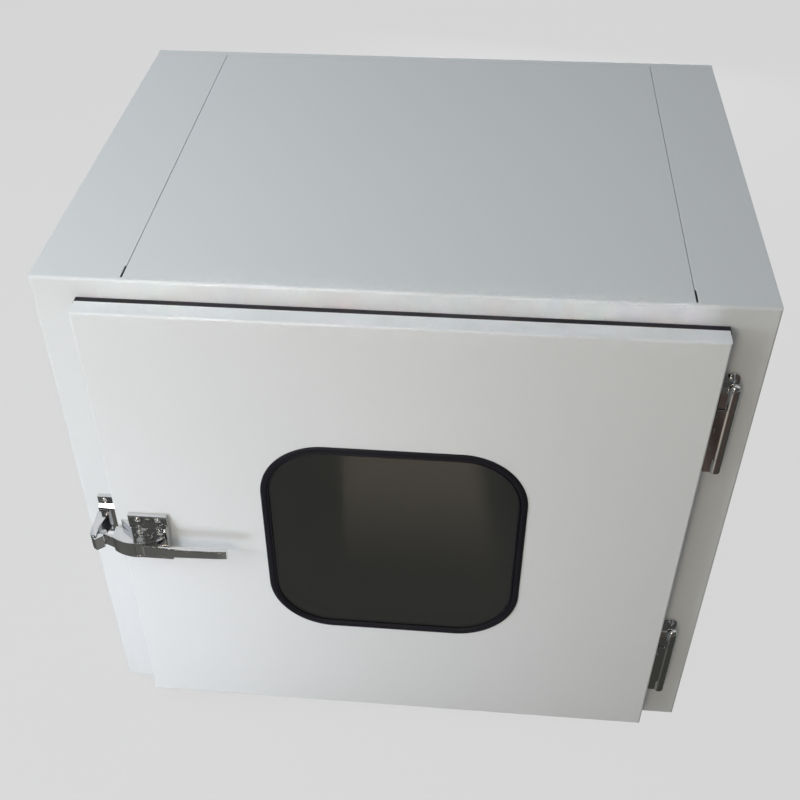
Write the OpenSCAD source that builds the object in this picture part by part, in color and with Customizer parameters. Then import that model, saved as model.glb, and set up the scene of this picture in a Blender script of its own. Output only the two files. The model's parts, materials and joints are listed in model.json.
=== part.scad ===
// Cleanroom pass box with two interlocked doors.
// Origin: centre of the cabinet's underside. +X right, +Y to the rear, +Z up.
// Every front fitting is drawn once and mirrored in Y for the rear.

/* [Cabinet] */
// Depth of the cabinet without its doors
cabinet_d = 505; // [460:1:600]
// Space between the chamber and the left side panel
left_space = 83.8; // [78:0.1:110]
// Space between the chamber and the right side panel
right_space = 70.8; // [66:0.1:95]
// Thickness of the painted sheet
sheet = 1.5; // [1:0.1:2]
// Outer radius of the bent edges of the frames
bend_r = 3; // [2.5:0.5:3.5]
// Return of the front frame onto the top and sides
front_return = 5; // [4:0.5:8]
// Return of the rear frame onto the top and sides
rear_return = 12; // [8:0.5:16]
// Width of the top flange on the left side panel
left_flange = 85; // [80:1:95]
// Width of the top flange on the right side panel
right_flange = 72; // [66:1:80]
// Gap of the seams between the panels
seam = 0.5; // [0.3:0.1:1.2]
// Length of the corner relief at the front of each seam
relief_len = 19.5; // [10:0.5:25]
// Width of the corner relief
relief_w = 1.6; // [1.2:0.1:4]

/* [Chamber] */
// Clear width of the chamber
chamber_w = 500; // [400:1:700]
// Clear height of the chamber
chamber_h = 500; // [400:1:700]
// Radius of the chamber's long corners
chamber_r = 20; // [10:1:30]
// Thickness of the stainless liner
liner_t = 1.2; // [1:0.1:1.5]
// Height of the rails under and over the chamber
rail_h = 36.3; // [32:0.1:50]
// Distance between the two rails
rail_pitch = 300; // [200:5:360]
// Distance of the rails' ends from the cabinet's front and back
rail_inset = 30; // [20:1:50]
// Width of a rail's crown
rail_w = 30; // [24:1:40]
// Width of a rail's foot
rail_foot = 12; // [8:1:16]
// Thickness of the rails
rail_t = 1.5; // [1:0.1:2]

/* [Door] */
// Margin of the frame beside the door
door_side = 43; // [40:0.5:50]
// Margin of the frame above and below the door
door_end = 16.5; // [12:0.5:24]
// Depth of the door's folded edge
door_t = 18.7; // [16:0.1:24]
// Gap between the cabinet and the door, filled by the gasket
door_gap = 11; // [9:0.1:13]
// Thickness of the door's sheets
door_sheet = 1.2; // [1:0.1:1.5]
// Outer radius of the bent edges of the door
door_bend_r = 2.4; // [2:0.1:3]
// Width of the gasket
gasket_w = 15; // [12:0.5:18]
// Distance of the gasket from the door's top and bottom edges
gasket_inset = 2.6; // [1:0.1:3]
// How far the gasket reaches past the door's side edges
gasket_side = 2.2; // [0:0.1:3]
// Clearance between the gasket and the frame
gasket_clear = 0.3; // [0.2:0.05:0.5]

/* [Window] */
// Clear width of the window
window_w = 246; // [200:1:280]
// Clear height of the window
window_h = 244; // [200:1:280]
// Corner radius of the clear window
window_r = 57; // [30:1:70]
// Width of the rubber lip
seal_lip = 9; // [8:0.5:11]
// Height of the rubber lip above the door
seal_proud = 2; // [1:0.1:3]
// Thickness of each pane
pane_t = 4; // [3:0.5:5]

/* [Hinge] */
// Distance of the hinge axis from the door's edge
hinge_out = 15.5; // [14.5:0.5:18]
// Distance of the hinge axis in front of the cabinet
hinge_fwd = 12.5; // [11:0.5:15]
// Radius of the knuckles
knuckle_r = 5.6; // [5:0.1:6]
// Length of the whole barrel
barrel_len = 103; // [95:1:120]
// Length of the upper knuckle
upper_knuckle = 26.5; // [24:0.5:32]
// Length of the lower knuckle
lower_knuckle = 17; // [14:1:24]
// Radius of the hinge pin
hinge_pin_r = 3; // [2.5:0.1:3.2]
// Distance between the two hinges of a door
hinge_pitch = 338; // [300:1:360]
// Length of the leaf on the frame
leaf_len = 116; // [110:1:124]
// Distance of the leaf's middle below the barrel's middle
leaf_drop = 2; // [0:0.5:4]
// Thickness of the leaf on the frame
leaf_t = 2.5; // [2:0.1:3]

/* [Latch] */
// Height of the middle of the latch and of the hinges
latch_z = 285; // [260:1:310]
// Distance of the lever's pivot from the door's left edge
pivot_in = 28.6; // [26:0.1:32]
// Distance of the lever's pivot in front of the door
pivot_fwd = 18.5; // [18:0.1:19]
// Width of the latch's flange
latch_flange_w = 40.5; // [38:0.5:44]
// Height of the latch's flange
latch_flange_h = 62; // [56:1:70]
// Thickness of the latch's flange
latch_flange_t = 5; // [4:0.1:5.5]
// Height of the latch's housing
housing_h = 20; // [18:0.5:22]
// Thickness of the plates above and below the lever
housing_plate = 2.2; // [2:0.1:2.6]
// Radius of the pin that the lever turns on
lever_pin_r = 2.5; // [2:0.1:3]
// Reach of the lever from its pivot to its tip
lever_reach = 90; // [80:1:96]
// Distance of the roller to the left of the pivot
roller_out = 41.6; // [41:0.1:43]
// Distance of the roller behind the pivot
roller_back = 10.8; // [10.6:0.1:11]
// Radius of the roller
roller_r = 3.3; // [3:0.1:3.6]
// Swing of the lever
lever_swing = 20; // [10:1:20]

/* [Lamp and power] */
// Length of the germicidal tube between its caps
tube_len = 288; // [200:1:360]
// Radius of the germicidal tube
tube_r = 8; // [7:0.5:9]
// Distance of the tube below the chamber's ceiling
tube_drop = 32; // [28:1:40]
// Height of the power inlet and the switch
inlet_z = 90; // [60:1:140]
// Distance of the inlet from the back of the cabinet
inlet_back = 102.5; // [60:0.5:140]
// Distance between the inlet and the switch
switch_pitch = 70; // [60:1:100]

/* [Interlock] */
// Height of the interlock shaft
interlock_z = 150; // [110:1:200]
// Radius of the interlock shaft
interlock_r = 4; // [3.5:0.5:5]
// Swing of the interlock to each side
interlock_swing = 25; // [20:1:28]

/* [Fits] */
// Gap between pieces that seat on each other
seat = 0.1; // [0.05:0.05:0.2]
// Radial clearance of a pin that turns
running = 0.04; // [0.02:0.01:0.08]
// Gap between faces that turn past each other
side_play = 0.3; // [0.2:0.05:0.5]
// Radial room of a pin in the hole that holds it
press = 0.01; // [0:0.005:0.02]

/* [Hidden] */
$fn = 64;

paint = [0.86, 0.88, 0.88];
stainless = [0.72, 0.74, 0.75];
bright_chrome = [0.8, 0.82, 0.85];
black_rubber = [0.07, 0.07, 0.08];

// Cabinet levels
liner_w = chamber_w + 2 * liner_t;
liner_h = chamber_h + 2 * liner_t;
cabinet_w = left_space + liner_w + right_space + 2 * sheet;
cabinet_h = liner_h + 2 * rail_h + 2 * sheet;
half_w = cabinet_w / 2;
face_y = -cabinet_d / 2;
chamber_shift = (left_space - right_space) / 2;
chamber_z = cabinet_h / 2;
base_fold = 20;
seam_fold = 12;

// Door levels
door_w = cabinet_w - 2 * door_side;
door_h = cabinet_h - 2 * door_end;
door_back_y = face_y - door_gap;
door_face_y = door_back_y - door_t;
door_left = -door_w / 2;
door_right = door_w / 2;
door_bottom = door_end;
pan_depth = 12;
pane_bite = 3;
sheet_bite = 5;
reveal_in = seal_lip + 2;
reveal_t = 1.5;

// Hinge levels
axis_x = door_right + hinge_out;
axis_y = face_y - hinge_fwd;
leaf_left = chamber_shift + liner_w / 2 + 2.5;
leaf_hole_x = leaf_left + 5.5;
leaf_r = 6;
web_w = 11.5;
web_front = 3;
web_step = 0.3;
door_leaf_t = 2.5;
cap_r = knuckle_r - 1;
taper_h = 3;
shoulder_z = barrel_len / 2 - cap_r - taper_h;
middle_z0 = -barrel_len / 2 + lower_knuckle;
middle_z1 = barrel_len / 2 - upper_knuckle;
pin_half = barrel_len / 2 - 8;
hinge_zs = [latch_z - hinge_pitch / 2, latch_z + hinge_pitch / 2];
leaf_hole_zs = [-45, 0, 45];
side_hole_zs = [-11, 11];
side_hole_y = (door_face_y + door_back_y) / 2 - 3;

// Latch levels, seen from above: u to the right of the pivot, v forward of it
pivot_x = door_left + pivot_in;
pivot_y = door_face_y - pivot_fwd;
pocket_h = housing_h - 2 * housing_plate;
lever_h = pocket_h - 2 * side_play;
bow_r = 41.5;
bow_v = 5.8;
bow_u = -5.6;
split_r = 7.4;
neck_u = -28;
housing_left = -29.6;
block_v = -7.2;
block_h = 40;
block_t = pivot_fwd + block_v;
flange_left = -13.6;
flange_screw_u = -3.9;
block_screw_u = -1.5;
screw_pitch_u = 21;
flange_screw_z = 26;
block_screw_z = 14.4;
lug_t = 3.2;
lug_r = 3;
roller_pin_r = 1.5;
grip_t = 6;
grip_taper = 48;
grip_tip_h = 11.2;
grip_steps = 24;

// Keeper levels, measured from the latch's middle
keeper_w = 17.5;
keeper_h = 51;
keeper_t = 4.5;
keeper_boss_h = 26;
keeper_boss_t = 4;
keeper_left = pivot_x - roller_out - 13;
keeper_arm_w = 7.5;
keeper_arm_h = 20;
beak_y = pivot_y + roller_back - roller_r - side_play;
beak_right = pivot_x - roller_out + 1;
beak_h = 16;
keeper_screw_x = keeper_left + keeper_w / 2 - 2;
keeper_screw_zs = [-20.3, 20.3];

// Screws
screw_r = 2;
screw_head_r = 3.8;
screw_head_h = 1.9;

// Interlock levels
interlock_x = (-half_w + chamber_shift - liner_w / 2) / 2 + 3;
catch_x = (door_left - gasket_side + gasket_w + chamber_shift - liner_w / 2) / 2;
catch_w = 8;
catch_h = 14;
catch_reach = 14;
catch_foot = 3;
catch_slot = 5;
hook_t = catch_slot - 1;
hook_y = face_y + catch_reach - 5.5;
shaft_half = cabinet_d / 2 - 6;
bearing_y = cabinet_d / 2 - 42;
bearing_r = 10;
bearing_t = 12;
hook_hub_r = 9;

// Lamp and power levels
ceiling_z = chamber_z + chamber_h / 2;
holder_t = 9;
holder_r = 9;
batten_w = 34;
batten_h = 18;
batten_end = 21;
cap_len = 12;
ballast_len = 150;
ballast_h = 40;
ballast_t = 30;
inlet_y = cabinet_d / 2 - inlet_back;
inlet_w = 31;
inlet_h = 24;
pin_pitch = 7;
bezel_t = 2;
switch_y = inlet_y - switch_pitch;
switch_w = 22;
switch_h = 30;
rocker_w = switch_w - 6;
rocker_x = 3;
rocker_pin_r = 1.5;
rocker_stub = 1.5;

// ---------- helpers ----------

module at_rear() { mirror([0, 1, 0]) children(); }

// Block between two corners
module block(lo, hi) { translate(lo) cube(hi - lo); }

// Rectangle with rounded corners, centred, in the XZ plane, from y0 to y1
module round_slab(w, h, r, y0, y1) {
    translate([0, y1, 0]) rotate([90, 0, 0]) linear_extrude(y1 - y0) {
        square([w - 2 * r, h], center = true);
        square([w, h - 2 * r], center = true);
        for (x = [-1, 1], z = [-1, 1])
            translate([x * (w / 2 - r), z * (h / 2 - r)]) circle(r);
    }
}

// Rounded rectangle round the clear window, grown by e on every side
module window_slab(e, y0, y1) {
    translate([0, 0, cabinet_h / 2])
        round_slab(window_w + 2 * e, window_h + 2 * e, window_r + e, y0, y1);
}

// Rounded rectangle round the chamber, grown by e on every side
module chamber_slab(e, y0, y1) {
    translate([chamber_shift, 0, chamber_z])
        round_slab(chamber_w + 2 * e, chamber_h + 2 * e, chamber_r + e, y0, y1);
}

// Points of an arc, from angle a0 to a1
function arc(c, r, a0, a1, n) = [for (i = [0:n]) let (a = a0 + (a1 - a0) * i / n)
    c + r * [cos(a), sin(a)]];

// Raised cross-head screw along -Y, its head seated at the origin
module cross_screw(length) {
    difference() {
        union() {
            intersection() {
                translate([0, screw_head_r - screw_head_h, 0]) sphere(screw_head_r);
                rotate([90, 0, 0]) cylinder(r = screw_head_r, h = screw_head_h + 1);
            }
            rotate([-90, 0, 0]) cylinder(r = screw_r, h = length);
        }
        for (a = [45, 135])
            rotate([0, a, 0]) block([-2, -screw_head_h - 1, -0.4], [2, 0.9 - screw_head_h, 0.4]);
    }
}

// Hole along Y for a screw
module screw_hole(x, y0, y1, z) {
    translate([x, y0, z]) rotate([-90, 0, 0]) cylinder(r = screw_r + seat, h = y1 - y0);
}

// ---------- cabinet ----------

// Block of width w with its front at y0, its front edges rounded to r, set in by e
module folded_block(w, z0, z1, y0, y1, r, e) {
    intersection() {
        translate([-w / 2 + e, 0, 0]) rotate([90, 0, 90]) linear_extrude(w - 2 * e) {
            translate([y0 + r, z0 + e]) square([y1 - y0 - r, z1 - z0 - 2 * e]);
            translate([y0 + e, z0 + r]) square([r, z1 - z0 - 2 * r]);
            for (z = [z0 + r, z1 - r]) translate([y0 + r, z]) circle(r - e);
        }
        translate([0, 0, z0]) linear_extrude(z1 - z0) {
            translate([-w / 2 + e, y0 + r]) square([w - 2 * e, y1 - y0 - r]);
            translate([-w / 2 + r, y0 + e]) square([w - 2 * r, r]);
            for (x = [-1, 1]) translate([x * (w / 2 - r), y0 + r]) circle(r - e);
        }
        block([-w, y0, z0], [w, y1, z1]);
    }
}

// Tray of sheet t, folded back to y1 on its four sides
module folded_tray(w, z0, z1, y0, y1, r, t) {
    difference() {
        folded_block(w, z0, z1, y0, y1, r, 0);
        folded_block(w, z0, z1, y0, y1 + 1, r, t);
    }
}

module frame_body(return_len) {
    difference() {
        folded_tray(cabinet_w, 0, cabinet_h, face_y, face_y + return_len, bend_r, sheet);
        chamber_slab(liner_t + seat, face_y - 1, face_y + return_len);
        block([catch_x - catch_w / 2 - 2, face_y - 1, interlock_z - catch_h / 2 - 2],
            [catch_x + catch_w / 2 + 2, face_y + sheet + 1, interlock_z + catch_h / 2 + 2]);
        keeper_holes(face_y - 1, face_y + sheet + 1);
        leaf_holes(face_y - 1, face_y + sheet + 1);
    }
}

module front_frame() { color(paint) frame_body(front_return); }
module rear_frame() { color(paint) at_rear() frame_body(rear_return); }

// The side panels, the top and the base lie between the frames' returns
panel_y0 = face_y + front_return + seat;
panel_y1 = -face_y - rear_return - seat;

// Side panel at the left, folded over the top by flange and under the base
module folded_side(flange) {
    difference() {
        translate([-half_w, 0, 0]) {
            block([0, panel_y0, 0], [sheet, panel_y1, cabinet_h]);
            block([0, panel_y0, cabinet_h - sheet], [flange - seam / 2, panel_y1, cabinet_h]);
            block([0, panel_y0, 0], [base_fold, panel_y1, sheet]);
        }
        translate([-half_w + flange, panel_y0, cabinet_h])
            block([-relief_w, -1, -sheet - 1], [0, relief_len, 1]);
    }
}

// Opening w by h through the left side panel
module side_window(y, w, h) {
    translate([-half_w, y, inlet_z]) block([-1, -w / 2, -h / 2], [sheet + 1, w / 2, h / 2]);
}

module left_side_panel() {
    color(paint) difference() {
        folded_side(left_flange);
        side_window(inlet_y, inlet_w, inlet_h);
        side_window(switch_y, switch_w, switch_h);
    }
}

module right_side_panel() { color(paint) mirror([1, 0, 0]) folded_side(right_flange); }

// The top turns down along both seams
module top_panel() {
    x0 = -half_w + left_flange + seam / 2;
    x1 = half_w - right_flange - seam / 2;
    color(paint) {
        block([x0, panel_y0, cabinet_h - sheet], [x1, panel_y1, cabinet_h]);
        block([x0, panel_y0, cabinet_h - seam_fold], [x0 + sheet, panel_y1, cabinet_h]);
        block([x1 - sheet, panel_y0, cabinet_h - seam_fold], [x1, panel_y1, cabinet_h]);
    }
}

module base_panel() {
    half = half_w - base_fold - seam;
    color(paint) block([-half, panel_y0, 0], [half, panel_y1, sheet]);
}

module chamber_liner() {
    color(stainless) difference() {
        chamber_slab(liner_t, face_y, -face_y);
        chamber_slab(0, face_y - 1, -face_y + 1);
    }
}

// Two hat rails along Y, standing on the sheet at z = 0 and carrying the liner on their crowns
module hat_rails() {
    foot_w = rail_w + 2 * rail_foot;
    for (s = [-1, 1]) translate([chamber_shift + s * rail_pitch / 2, 0, 0]) rotate([90, 0, 0])
        linear_extrude(cabinet_d - 2 * rail_inset, center = true) difference() {
            union() {
                translate([-foot_w / 2, 0]) square([foot_w, rail_t]);
                translate([-rail_w / 2, 0]) square([rail_w, rail_h]);
            }
            translate([-rail_w / 2 + rail_t, -1]) square([rail_w - 2 * rail_t, rail_h - rail_t + 1]);
        }
}

module floor_rails() { color(stainless) translate([0, 0, sheet]) hat_rails(); }

module roof_rails() {
    color(stainless) translate([0, 0, cabinet_h - sheet]) mirror([0, 0, 1]) hat_rails();
}

// ---------- lamp and power ----------

module lamp_batten() {
    half = tube_len / 2 + holder_t + batten_end;
    color(paint) translate([chamber_shift, 0, ceiling_z - batten_h]) difference() {
        block([-half, -batten_w / 2, 0], [half, batten_w / 2, batten_h]);
        block([1 - half, 1 - batten_w / 2, 1], [half - 1, batten_w / 2 - 1, batten_h + 1]);
    }
}

module lamp_holders() {
    z = ceiling_z - tube_drop;
    top = ceiling_z - batten_h;
    x = tube_len / 2 + holder_t / 2 + seat;
    color("white") for (s = [-1, 1]) translate([chamber_shift + s * x, 0, 0]) {
        block([-holder_t / 2, -holder_r, z], [holder_t / 2, holder_r, top]);
        translate([-holder_t / 2, 0, z]) rotate([0, 90, 0]) cylinder(r = holder_r, h = holder_t);
    }
}

module uv_tube() {
    color([0.9, 0.93, 0.98]) translate([chamber_shift - tube_len / 2 + cap_len, 0, ceiling_z - tube_drop])
        rotate([0, 90, 0]) cylinder(r = tube_r, h = tube_len - 2 * cap_len);
}

module uv_tube_caps() {
    color("silver") for (s = [-1, 1])
        translate([chamber_shift + s * (tube_len / 2 - cap_len / 2), 0, ceiling_z - tube_drop])
            rotate([0, 90, 0]) cylinder(r = tube_r, h = cap_len, center = true);
}

// Lamp ballast on the inner face of the left side panel
module lamp_ballast() {
    color("white") translate([-half_w + sheet, 0, chamber_z])
        block([0, -ballast_len / 2, -ballast_h / 2], [ballast_t, ballast_len / 2, ballast_h / 2]);
}

module power_inlet() {
    x = -half_w;
    y = inlet_w / 2;
    z = inlet_h / 2;
    color([0.12, 0.12, 0.12]) translate([x, inlet_y, inlet_z]) difference() {
        union() {
            block([-2.5, -y - 6, -z - 4], [0, y + 6, z + 4]);
            block([-0.5, 0.3 - y, 0.3 - z], [20, y - 0.3, z - 0.3]);
        }
        translate([-3, 0, 0]) rotate([90, 0, 90]) linear_extrude(19)
            polygon([[-12, -8], [12, -8], [12, 4], [8, 8.5], [-8, 8.5], [-12, 4]]);
    }
}

module inlet_pins() {
    color("silver") translate([-half_w, inlet_y, inlet_z])
        for (p = [[-pin_pitch, -2], [0, 2], [pin_pitch, -2]])
            block([2, p[0] - 1, p[1] - 2], [16, p[0] + 1, p[1] + 2]);
}

module switch_bezel() {
    y = switch_w / 2;
    z = switch_h / 2;
    wall = 2.5;
    color([0.12, 0.12, 0.12]) translate([-half_w, switch_y, inlet_z]) difference() {
        union() {
            block([-bezel_t, -y - 2, -z - 2], [0, y + 2, z + 2]);
            block([-0.5, 0.3 - y, 0.3 - z], [18, y - 0.3, z - 0.3]);
        }
        block([-bezel_t - 1, wall - y, wall - z], [14, y - wall, z - wall]);
        translate([rocker_x, 0, 0]) rotate([90, 0, 0])
            cylinder(r = rocker_pin_r + running, h = rocker_w + 2 * rocker_stub + 2 * seat, center = true);
    }
}

// Rocker that tips on two stubs along Y; its faces slope to the middle
module switch_rocker() {
    h = switch_h / 2 - 4;
    color([0.15, 0.15, 0.15]) translate([-half_w + rocker_x, switch_y, inlet_z]) rotate([90, 0, 0]) {
        linear_extrude(rocker_w, center = true)
            polygon([[-5.5, h], [-3.2, 0], [-5.5, -h], [3, -h + 2.5], [5, 0], [3, h - 2.5]]);
        cylinder(r = rocker_pin_r, h = rocker_w + 2 * rocker_stub, center = true);
    }
}

// ---------- interlock ----------

// Shaft with a hook at each end; the front hook hangs low and the rear one stands high
module interlock_shaft() {
    reach = catch_x - interlock_x - 0.5;
    module hook(a) {
        rotate([90, 0, 0]) linear_extrude(hook_t, center = true) rotate(a) {
            circle(hook_hub_r);
            polygon([[0, 1 - hook_hub_r], [reach - 6, -4.5], [reach, -3.5],
                [reach, 3.5], [reach - 6, 4.5], [0, hook_hub_r - 1]]);
        }
    }
    color(stainless) translate([interlock_x, 0, interlock_z]) {
        rotate([90, 0, 0]) cylinder(r = interlock_r, h = 2 * shaft_half, center = true);
        translate([0, hook_y, 0]) hook(-interlock_swing);
        translate([0, -hook_y, 0]) hook(interlock_swing);
    }
}

// Brackets on the left side panel that carry the shaft
module interlock_bearings() {
    color("steelblue") for (s = [-1, 1]) translate([interlock_x, s * bearing_y, interlock_z]) difference() {
        union() {
            rotate([90, 0, 0]) cylinder(r = bearing_r, h = bearing_t, center = true);
            block([-half_w + sheet - interlock_x, -bearing_t / 2, -bearing_r], [0, bearing_t / 2, bearing_r]);
        }
        rotate([90, 0, 0]) cylinder(r = interlock_r + running, h = 2 * bearing_t, center = true);
    }
}

// Catch on the back of a door; the hook turns into its slot
module catch_body() {
    x = catch_w / 2;
    z = catch_h / 2;
    foot_y = door_back_y + 2;
    color(stainless) translate([catch_x, 0, interlock_z]) difference() {
        union() {
            block([-x, door_back_y, -z], [x, face_y + catch_reach, z]);
            block([-x - catch_foot, door_back_y, -z - 2 * catch_foot],
                [x + catch_foot, foot_y, z + 2 * catch_foot]);
        }
        block([-x - 1, hook_y - catch_slot / 2, -catch_h], [1, hook_y + catch_slot / 2, catch_h]);
    }
}

module front_interlock_catch() { catch_body(); }
module rear_interlock_catch() { at_rear() catch_body(); }

// ---------- keeper ----------

module keeper_holes(y0, y1) {
    for (z = keeper_screw_zs) screw_hole(keeper_screw_x, y0, y1, latch_z + z);
}

// Plate on the frame's margin with an arm whose flared beak holds the roller
module keeper_body() {
    x0 = keeper_left;
    arm_x = x0 + keeper_arm_w;
    plate_y = face_y - keeper_t;
    boss_y = plate_y - keeper_boss_t;
    color(bright_chrome) difference() {
        translate([0, 0, latch_z]) {
            block([x0, plate_y, -keeper_h / 2], [x0 + keeper_w, face_y, keeper_h / 2]);
            rotate([90, 0, 90]) translate([0, 0, x0]) linear_extrude(keeper_w)
                polygon([[plate_y + 1, -keeper_boss_h / 2 - 3], [plate_y, -keeper_boss_h / 2 - 3],
                    [boss_y, -keeper_boss_h / 2], [boss_y, keeper_boss_h / 2],
                    [plate_y, keeper_boss_h / 2 + 3], [plate_y + 1, keeper_boss_h / 2 + 3]]);
            linear_extrude(keeper_arm_h, center = true)
                polygon([[x0, boss_y + 1], [x0, beak_y - 1], [x0 + 2.5, beak_y - 5], [arm_x, beak_y - 5],
                    [arm_x, boss_y - 24], [arm_x + 5.5, boss_y + 1]]);
            linear_extrude(beak_h, center = true)
                polygon([[arm_x - 2, beak_y], [x0 + 2.5, beak_y - 5], [arm_x - 0.5, beak_y - 9],
                    [beak_right, beak_y - 3.1], [beak_right, beak_y]]);
        }
        keeper_holes(plate_y - 1, face_y + 1);
    }
}

module front_keeper() { keeper_body(); }
module rear_keeper() { at_rear() keeper_body(); }

// ---------- hinges ----------

module leaf_holes(y0, y1) {
    for (z = hinge_zs, dz = leaf_hole_zs) screw_hole(leaf_hole_x, y0, y1, z - leaf_drop + dz);
}

// Web behind a knuckle, from x0 to x1; its top slopes back from the front by slope
module knuckle_web(x0, x1, front, back, z0, z1, slope) {
    translate([x0, 0, 0]) rotate([90, 0, 90]) linear_extrude(x1 - x0)
        polygon([[front, z0], [front, z1 - slope], [front + slope / 2, z1], [back, z1], [back, z0]]);
}

// Leaf on the frame with the upper and lower knuckles; the upper one ends in a tapered dome
module frame_leaf() {
    x0 = leaf_left - axis_x;
    back = face_y - axis_y;
    lower_top = middle_z0 - side_play;
    upper_low = middle_z1 + side_play;
    web_back = back - leaf_t + 1;
    low_z0 = web_step - barrel_len / 2;
    low_z1 = lower_top - web_step;
    high_z0 = upper_low + web_step;
    difference() {
        union() {
            translate([0, back, -leaf_drop]) rotate([90, 0, 0]) linear_extrude(leaf_t) {
                translate([x0, -leaf_len / 2 + leaf_r]) square([knuckle_r - x0, leaf_len - 2 * leaf_r]);
                translate([x0, -leaf_len / 2]) square([knuckle_r - x0 - leaf_r, leaf_len]);
                for (s = [-1, 1]) translate([knuckle_r - leaf_r, s * (leaf_len / 2 - leaf_r)]) circle(leaf_r);
            }
            translate([0, 0, -barrel_len / 2]) cylinder(r = knuckle_r, h = lower_top + barrel_len / 2);
            translate([0, 0, upper_low]) cylinder(r = knuckle_r, h = shoulder_z - upper_low);
            translate([0, 0, shoulder_z]) cylinder(r1 = knuckle_r, r2 = cap_r + 0.3, h = taper_h);
            translate([0, 0, shoulder_z + taper_h]) sphere(cap_r);
            knuckle_web(-web_w, 0.2, -web_front, web_back, low_z0, low_z1, 0.5);
            knuckle_web(-web_w, 0.2, -web_front, web_back, high_z0, shoulder_z + taper_h - web_step, 6);
            knuckle_web(-1, knuckle_r - 0.4, 0.3, web_back, low_z0, low_z1, 0.5);
            knuckle_web(-1, knuckle_r - 0.4, 0.3, web_back, high_z0, shoulder_z - web_step, 0.5);
        }
        translate([0, 0, -pin_half - seat]) cylinder(r = hinge_pin_r + press, h = 2 * (pin_half + seat));
    }
}

// Leaf on the door's edge with the middle knuckle
module door_leaf() {
    difference() {
        union() {
            translate([0, 0, middle_z0]) cylinder(r = knuckle_r, h = middle_z1 - middle_z0);
            block([-hinge_out + seat, -4.5, middle_z0], [0, 1, middle_z1]);
            block([-hinge_out + seat, -14.5, middle_z0], [-hinge_out + door_leaf_t, 1, middle_z1]);
        }
        translate([0, 0, middle_z0 - 1]) cylinder(r = hinge_pin_r + running, h = middle_z1 - middle_z0 + 2);
        for (z = side_hole_zs)
            translate([-hinge_out - 1, side_hole_y - axis_y, z + (middle_z0 + middle_z1) / 2])
                rotate([0, 90, 0]) cylinder(r = screw_r + seat, h = door_leaf_t + 2);
    }
}

module at_hinges() { for (z = hinge_zs) translate([axis_x, axis_y, z]) children(); }

module front_frame_leaves() {
    color(bright_chrome) difference() {
        at_hinges() frame_leaf();
        leaf_holes(face_y - leaf_t - 1, face_y + 1);
    }
}

module front_hinge_pins() {
    color("silver") at_hinges() cylinder(r = hinge_pin_r, h = 2 * pin_half, center = true);
}

module front_door_leaves() { color(bright_chrome) at_hinges() door_leaf(); }
module rear_frame_leaves() { at_rear() front_frame_leaves(); }
module rear_hinge_pins() { at_rear() front_hinge_pins(); }
module rear_door_leaves() { at_rear() front_door_leaves(); }

// Screws of the keepers and of the leaves on the frames
module frame_screws() {
    module one_side() {
        for (z = keeper_screw_zs)
            translate([keeper_screw_x, face_y - keeper_t, latch_z + z]) cross_screw(keeper_t + 5);
        for (z = hinge_zs, dz = leaf_hole_zs)
            translate([leaf_hole_x, face_y - leaf_t, z - leaf_drop + dz]) cross_screw(leaf_t + 5);
    }
    color("silver") {
        one_side();
        at_rear() one_side();
    }
}

// ---------- door ----------

module door_skin_body() {
    y0 = door_face_y;
    color(paint) difference() {
        folded_tray(door_w, door_bottom, door_bottom + door_h, y0, door_back_y, door_bend_r, door_sheet);
        window_slab(sheet_bite, y0 - 1, y0 + door_sheet + 1);
        latch_screw_holes(y0 - 1, y0 + door_sheet + 1);
        for (z = hinge_zs, dz = side_hole_zs)
            translate([door_right - 3, side_hole_y, z + dz + (middle_z0 + middle_z1) / 2])
                rotate([0, 90, 0]) cylinder(r = screw_r + seat, h = 5);
    }
}

module inner_pan_body() {
    e = door_sheet + seat;
    color(stainless) difference() {
        door_frame_block(e, door_back_y - pan_depth, door_back_y);
        door_frame_block(e + door_sheet, door_back_y - pan_depth - 1, door_back_y - door_sheet);
        window_slab(0, door_back_y - door_sheet - 1, door_back_y + 1);
        for (z = hinge_zs, dz = side_hole_zs)
            translate([door_right - 6, side_hole_y, z + dz + (middle_z0 + middle_z1) / 2])
                rotate([0, 90, 0]) cylinder(r = screw_r + seat, h = 8);
    }
}

module outer_pane_body() {
    color([0.12, 0.13, 0.12]) window_slab(pane_bite - seat, door_face_y + seat, door_face_y + pane_t - seat);
}

module inner_pane_body() {
    y1 = door_back_y - door_sheet - seat;
    color([0.12, 0.13, 0.12]) window_slab(reveal_in - 2 * seat, y1 - pane_t, y1);
}

// Rubber profile that grips the door's skin on one side and the pane on the other
module window_seal_body() {
    y0 = door_face_y;
    color(black_rubber) difference() {
        union() {
            window_slab(seal_lip, y0 - seal_proud, y0 + door_sheet + 2);
            window_slab(sheet_bite, y0 - seal_proud, y0 + pane_t + 2);
        }
        difference() {
            window_slab(seal_lip + 1, y0 - seat / 2, y0 + door_sheet + seat / 2);
            window_slab(sheet_bite - seat, y0 - 1, y0 + door_sheet + 1);
        }
        window_slab(pane_bite, y0, y0 + pane_t);
        window_slab(0, y0 - seal_proud - 1, y0 + pane_t + 3);
    }
}

// Ring that closes the door between its skin and its pan round the window
module window_reveal_body() {
    color(stainless) difference() {
        window_slab(reveal_in + reveal_t, door_face_y + door_sheet + seat, door_back_y - door_sheet - seat);
        window_slab(reveal_in, door_face_y, door_back_y);
    }
}

module gasket_body() {
    y1 = face_y - gasket_clear;
    lip_y = door_back_y + door_gap * 0.4;
    color(black_rubber) difference() {
        gasket_block(0, door_back_y, y1);
        gasket_block(gasket_w, door_back_y - 1, lip_y + 1);
        gasket_block(gasket_w - 4, lip_y, y1 + 1);
        for (z = hinge_zs) translate([leaf_left, face_y, z - leaf_drop])
            block([-1, -leaf_t - gasket_clear, -leaf_len / 2 - 1], [door_w, 1, leaf_len / 2 + 1]);
    }
}

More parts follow.
